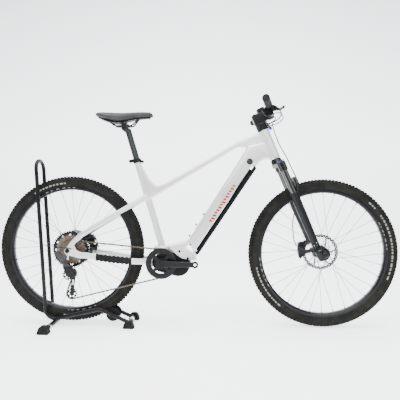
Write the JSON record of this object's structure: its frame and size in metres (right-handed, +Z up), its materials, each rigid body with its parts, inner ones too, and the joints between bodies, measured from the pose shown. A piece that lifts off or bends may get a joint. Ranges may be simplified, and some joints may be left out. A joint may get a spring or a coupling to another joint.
{
  "type": "electric mountain bicycle on floor stand",
  "caption": "Hardtail electric mountain bicycle with a mid motor and down-tube battery, held upright by its rear wheel in a tubular hoop floor stand.",
  "frame": {"origin": "on the floor, midway between the two axles, in the middle plane of the bicycle", "axes": "+X towards the front wheel, +Y to the bicycle's left (the drive side is -Y), +Z up"},
  "size_m": [2.004, 0.7494, 1.0991],
  "materials": {
    "frame_silver": "satin light silver-grey paint",
    "stand_black": "matt black powder coat",
    "bright_steel": "bright zinc-plated steel",
    "foot_rubber": "dull dark grey-green rubber",
    "black_plastic": "matt black moulded plastic",
    "black_alloy": "satin black anodised aluminium",
    "fork_black": "satin black paint",
    "gloss_black": "gloss black paint",
    "motor_black": "satin black cast housing",
    "tyre_black": "matt black knobbly rubber with a thin tan bead line",
    "rim_black": "satin black anodised with a pale grey band",
    "spoke_steel": "drawn steel wire",
    "rotor_steel": "ground steel with a bronze tint",
    "bronze_steel": "bronze-tinted hardened steel",
    "cog_black": "black coated steel",
    "grip_rubber": "matt black ribbed rubber",
    "saddle_cover": "matt black synthetic leather over foam",
    "stanchion_chrome": "hard chrome",
    "cable_black": "satin black hose and cable casing",
    "knob_blue": "blue anodised",
    "button_grey": "dark grey moulded buttons"
  },
  "bodies": {
    "stand": {"stand_frame": "stand_black", "stand_hardware": "bright_steel", "stand_feet": "foot_rubber"},
    "stand_roller": {"stand_roller": "black_plastic"},
    "bike_frame": {"head_tube": "frame_silver", "seat_tube": "frame_silver", "down_tube": "frame_silver", "top_tube": "frame_silver", "motor_cradle": "frame_silver", "rear_stays": "frame_silver", "chainstay_guard": "black_plastic", "frame_fittings": "black_alloy", "motor_unit": "motor_black", "rear_caliper": "black_alloy", "rear_derailleur": "black_alloy", "chain": "bronze_steel", "frame_hoses": "cable_black"},
    "battery": {"battery": "black_plastic"},
    "battery_lock": {"battery_lock": "bright_steel"},
    "rear_wheel": {"rear_tyre": "tyre_black", "rear_rim": "rim_black", "rear_spokes": "spoke_steel", "rear_hub": "black_alloy", "rear_rotor": "rotor_steel"},
    "cassette": {"cassette_sprockets": "bronze_steel", "cassette_large_sprocket": "cog_black", "freehub": "bright_steel"},
    "guide_pulley": {"guide_pulley": "black_plastic"},
    "tension_pulley": {"tension_pulley": "black_plastic"},
    "crankset": {"cranks": "black_alloy", "chainring": "cog_black"},
    "seatpost": {"seatpost": "black_alloy"},
    "saddle": {"saddle_rails": "bright_steel", "saddle_shell": "black_plastic", "saddle_cover": "saddle_cover"},
    "steering": {"fork_crown": "gloss_black", "stanchions": "stanchion_chrome", "stem": "black_alloy", "handlebar": "black_alloy", "grips": "grip_rubber", "brake_lever_bodies": "black_alloy", "switch_bodies": "black_plastic", "display": "black_plastic", "control_hoses": "cable_black", "front_hose_upper": "cable_black"},
    "fork_lockout_knob": {"fork_lockout_knob": "knob_blue"},
    "right_brake_lever": {"right_brake_lever": "black_alloy"},
    "left_brake_lever": {"left_brake_lever": "black_alloy"},
    "shift_lever_main": {"shift_lever_main": "black_plastic"},
    "shift_lever_release": {"shift_lever_release": "black_plastic"},
    "assist_button_up": {"assist_button_up": "button_grey"},
    "assist_button_down": {"assist_button_down": "button_grey"},
    "fork_slider": {"fork_lowers": "fork_black", "front_caliper": "black_alloy", "front_hose_lower": "cable_black"},
    "front_wheel": {"front_tyre": "tyre_black", "front_rim": "rim_black", "front_spokes": "spoke_steel", "front_hub": "black_alloy", "front_rotor": "rotor_steel"}
  },
  "joints": [
    {"name": "bike_lift_out", "type": "slide", "parent": "stand", "child": "bike_frame", "axis": [0.8414, 0, 0.5405], "range_m": [0, 0.35]},
    {"name": "stand_roller_spin", "type": "hinge", "parent": "stand", "child": "stand_roller", "pos_m": [-0.42, 0, 0.055], "axis": [0, 1, 0], "continuous": true},
    {"name": "rear_wheel_spin", "type": "hinge", "parent": "bike_frame", "child": "rear_wheel", "pos_m": [-0.632, 0, 0.385], "axis": [0, 1, 0], "continuous": true},
    {"name": "crank_spin", "type": "hinge", "parent": "bike_frame", "child": "crankset", "pos_m": [-0.17, 0, 0.321], "axis": [0, 1, 0], "continuous": true},
    {"name": "cassette_spin", "type": "hinge", "parent": "bike_frame", "child": "cassette", "pos_m": [-0.632, 0, 0.385], "axis": [0, 1, 0], "continuous": true},
    {"name": "guide_pulley_spin", "type": "hinge", "parent": "bike_frame", "child": "guide_pulley", "pos_m": [-0.6436, 0, 0.258], "axis": [0, 1, 0], "continuous": true},
    {"name": "tension_pulley_spin", "type": "hinge", "parent": "bike_frame", "child": "tension_pulley", "pos_m": [-0.624, 0, 0.163], "axis": [0, 1, 0], "continuous": true},
    {"name": "battery_removal", "type": "slide", "parent": "bike_frame", "child": "battery", "axis": [0.8304, 0, -0.5571], "range_m": [0, 0.09]},
    {"name": "battery_lock_turn", "type": "hinge", "parent": "bike_frame", "child": "battery_lock", "pos_m": [0.268, 0, 0.826], "axis": [0, -1, 0], "range_deg": [0, 90]},
    {"name": "seatpost_height", "type": "slide", "parent": "bike_frame", "child": "seatpost", "axis": [-0.2807, 0, 0.9598], "range_m": [-0.12, 0.05]},
    {"name": "saddle_tilt", "type": "hinge", "parent": "seatpost", "child": "saddle", "pos_m": [-0.36, 0, 1.006], "axis": [0, 1, 0], "range_deg": [-8, 8]},
    {"name": "steering_turn", "type": "hinge", "parent": "bike_frame", "child": "steering", "pos_m": [0.3965, 0, 0.841], "axis": [-0.3939, 0, 0.9191], "range_deg": [-45, 45]},
    {"name": "fork_lockout_turn", "type": "hinge", "parent": "steering", "child": "fork_lockout_knob", "pos_m": [0.41173, -0.067, 0.82577], "axis": [-0.3939, 0, 0.9191], "range_deg": [0, 90]},
    {"name": "right_brake_pull", "type": "hinge", "parent": "steering", "child": "right_brake_lever", "pos_m": [0.36776, -0.222, 1.05314], "axis": [-0.5, 0, -0.866], "range_deg": [0, 20], "stiffness_Nm_per_rad": 1, "springref_deg": -8.59},
    {"name": "left_brake_pull", "type": "hinge", "parent": "steering", "child": "left_brake_lever", "pos_m": [0.36776, 0.222, 1.05314], "axis": [0.5, 0, 0.866], "range_deg": [0, 20], "stiffness_Nm_per_rad": 1, "springref_deg": -8.59},
    {"name": "shift_main_push", "type": "hinge", "parent": "steering", "child": "shift_lever_main", "pos_m": [0.33313, -0.178, 1.03552], "axis": [0.5, 0, 0.866], "range_deg": [0, 25], "stiffness_Nm_per_rad": 0.2, "springref_deg": -5.73},
    {"name": "shift_release_push", "type": "hinge", "parent": "steering", "child": "shift_lever_release", "pos_m": [0.33313, -0.178, 1.03552], "axis": [-0.5, 0, -0.866], "range_deg": [0, 15], "stiffness_Nm_per_rad": 0.2, "springref_deg": -5.73},
    {"name": "assist_up_press", "type": "slide", "parent": "steering", "child": "assist_button_up", "axis": [0.866, 0, -0.5], "range_m": [0, 0.001], "stiffness_N_per_m": 400, "springref_m": -0.0005},
    {"name": "assist_down_press", "type": "slide", "parent": "steering", "child": "assist_button_down", "axis": [0.866, 0, -0.5], "range_m": [0, 0.001], "stiffness_N_per_m": 400, "springref_m": -0.0005},
    {"name": "fork_travel", "type": "slide", "parent": "steering", "child": "fork_slider", "axis": [-0.3939, 0, 0.9191], "range_m": [0, 0.09], "stiffness_N_per_m": 8000, "springref_m": -0.03, "deforming": ["front_hose_upper"]},
    {"name": "front_wheel_spin", "type": "hinge", "parent": "fork_slider", "child": "front_wheel", "pos_m": [0.632, 0, 0.37], "axis": [0, 1, 0], "continuous": true}
  ],
  "couplings": [
    {"joint": "cassette_spin", "follows": "crank_spin", "ratio": 1.4167},
    {"joint": "tension_pulley_spin", "follows": "crank_spin", "ratio": 2.6154},
    {"joint": "guide_pulley_spin", "follows": "crank_spin", "ratio": -2.6154}
  ]
}
